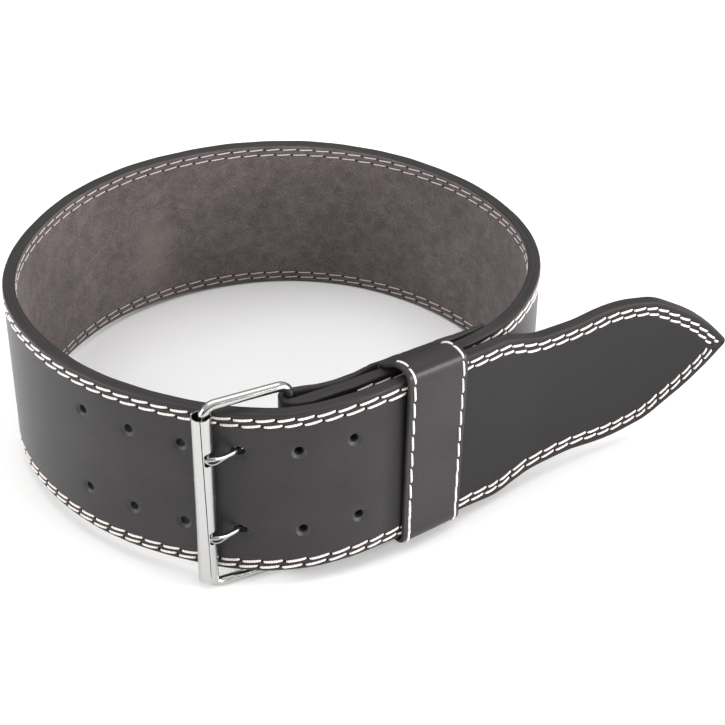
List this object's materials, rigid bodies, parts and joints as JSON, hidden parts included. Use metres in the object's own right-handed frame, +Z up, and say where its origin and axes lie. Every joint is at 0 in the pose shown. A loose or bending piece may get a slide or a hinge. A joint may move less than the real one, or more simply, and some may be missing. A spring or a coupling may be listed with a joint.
{
  "type": "weightlifting belt",
  "caption": "Thick leather lifting belt, closed to a ring by a two-prong roller buckle, its pointed tail held by a keeper loop; two rows of punched holes.",
  "frame": {"origin": "bottom centre of the bounding box, on the surface that the belt stands on", "axes": "+X from the left of the front to the right, along the free tail; +Y from the buckle to the far side of the ring; +Z up, across the belt's width"},
  "size_m": [0.4084, 0.3098, 0.1183],
  "materials": {
    "strap_leather": "charcoal grain outside with a low gloss, brown-grey suede inside, cream stitching",
    "keeper_leather": "charcoal grain leather with a low gloss and cream stitching",
    "plated_steel": "bright nickel plate"
  },
  "bodies": {
    "root": {"strap": "strap_leather", "keeper_loop": "keeper_leather", "buckle_frame": "plated_steel", "buckle_roller": "plated_steel", "upper_prong": "plated_steel", "lower_prong": "plated_steel"}
  },
  "joints": []
}
